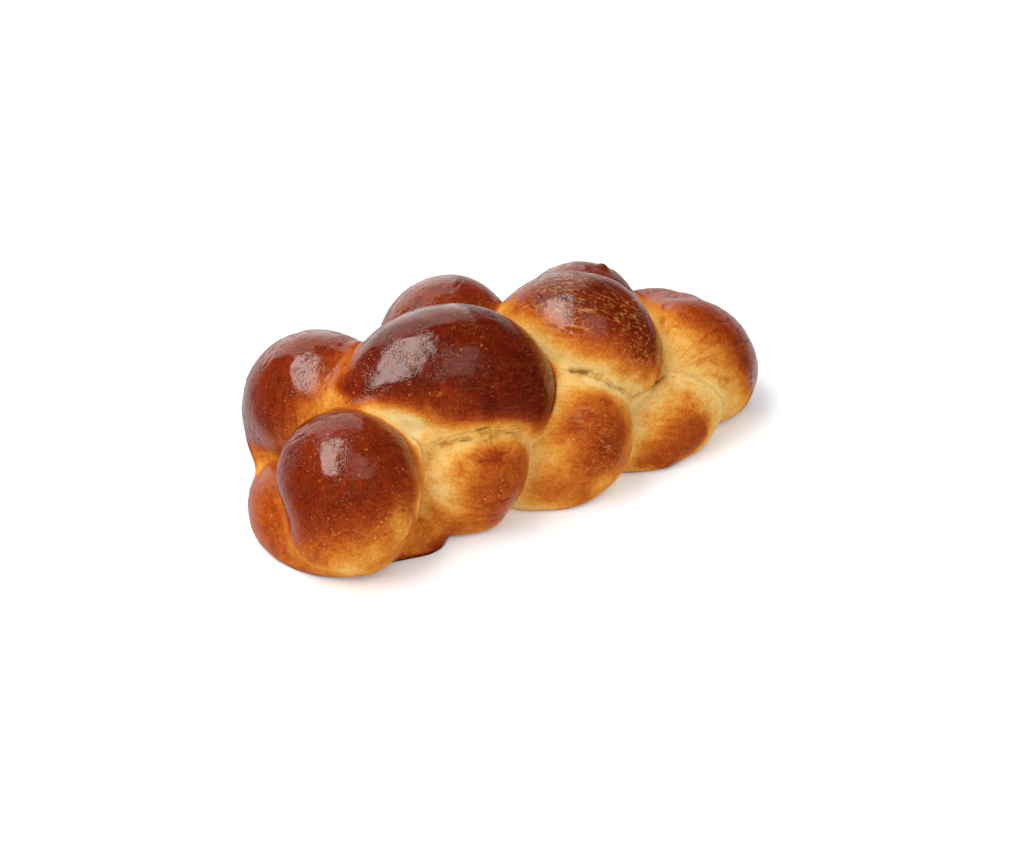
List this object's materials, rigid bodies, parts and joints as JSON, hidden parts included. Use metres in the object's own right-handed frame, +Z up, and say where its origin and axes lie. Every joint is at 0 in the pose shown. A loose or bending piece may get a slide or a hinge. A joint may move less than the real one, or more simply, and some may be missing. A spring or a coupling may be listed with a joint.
{
  "type": "braided loaf",
  "caption": "Braided loaf of bread: fat plaited strands with a glossy browned crust, pale creases between them and a flat base.",
  "frame": {"origin": "middle of the flat base that the loaf rests on", "axes": "+X along the loaf towards its lower end, +Y across it to the side of the smaller row of crossings, +Z up"},
  "size_m": [0.3, 0.15, 0.1],
  "materials": {
    "crust": "satin egg-washed crust, golden to dark brown"
  },
  "bodies": {
    "root": {"loaf": "crust"}
  },
  "joints": []
}
